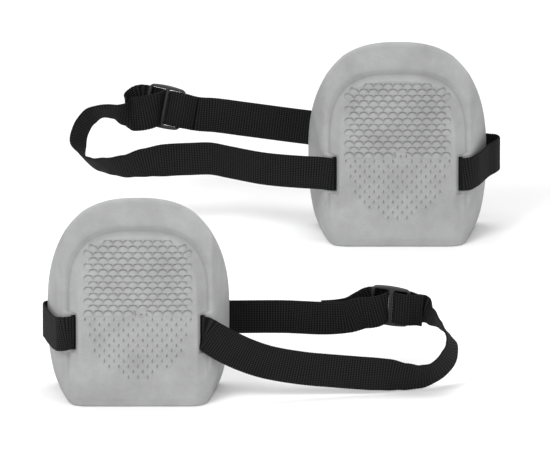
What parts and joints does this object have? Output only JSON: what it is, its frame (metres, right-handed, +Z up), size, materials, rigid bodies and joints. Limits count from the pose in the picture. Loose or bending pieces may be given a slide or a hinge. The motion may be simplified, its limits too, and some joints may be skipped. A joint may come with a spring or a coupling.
{
  "type": "knee pads",
  "caption": "Pair of moulded grey foam knee pads, each with a webbing strap threaded through two slots and a three-bar slide buckle.",
  "frame": {"origin": "middle of the left pad's flat lower edge, on the surface that it stands on", "axes": "+Z up, pads face -Y, +X to the right when looking at their fronts"},
  "size_m": [0.3953, 0.4908, 0.185],
  "materials": {
    "foam": "matte moulded closed-cell foam",
    "webbing": "woven polypropylene webbing",
    "buckle_plastic": "satin moulded plastic",
    "thread": "twisted sewing thread"
  },
  "bodies": {
    "left_pad": {"left_foam_pad": "foam", "left_strap_inner_pass": "webbing", "left_strap_front_strand": "webbing", "left_strap_loop_end": "webbing", "left_strap_rear_strand": "webbing", "left_strap_side_wrap": "webbing"},
    "left_buckle": {"left_slide_buckle": "buckle_plastic", "left_strap_buckle_fold": "webbing", "left_strap_sewn_end": "webbing", "left_stitching": "thread"},
    "left_tail": {"left_strap_free_tail": "webbing"},
    "right_pad": {"right_foam_pad": "foam", "right_strap_inner_pass": "webbing", "right_strap_front_strand": "webbing", "right_strap_loop_end": "webbing", "right_strap_rear_strand": "webbing", "right_strap_side_wrap": "webbing"},
    "right_buckle": {"right_slide_buckle": "buckle_plastic", "right_strap_buckle_fold": "webbing", "right_strap_sewn_end": "webbing", "right_stitching": "thread"},
    "right_tail": {"right_strap_free_tail": "webbing"}
  },
  "joints": [
    {"name": "right_pad_apart", "type": "slide", "parent": "left_pad", "child": "right_pad", "axis": [1, 0, 0], "range_m": [0, 0.12]},
    {"name": "left_strap_adjust", "type": "slide", "parent": "left_pad", "child": "left_buckle", "axis": [-0.9762, 0.2013, 0.0805], "range_m": [0, 0.02], "deforming": ["left_strap_rear_strand", "left_strap_loop_end"]},
    {"name": "left_tail_flip", "type": "hinge", "parent": "left_buckle", "child": "left_tail", "pos_m": [0.20333, 0.0664, 0.06863], "axis": [0.0483, -0.16, 0.9859], "range_deg": [-60, 0]},
    {"name": "right_strap_adjust", "type": "slide", "parent": "right_pad", "child": "right_buckle", "axis": [-0.9473, 0.2976, 0.119], "range_m": [0, 0.02], "deforming": ["right_strap_loop_end", "right_strap_rear_strand"]},
    {"name": "right_tail_flip", "type": "hinge", "parent": "right_buckle", "child": "right_tail", "pos_m": [0.00871, 0.47855, 0.10166], "axis": [0.1828, 0.1967, 0.9633], "range_deg": [-45, 0]}
  ]
}
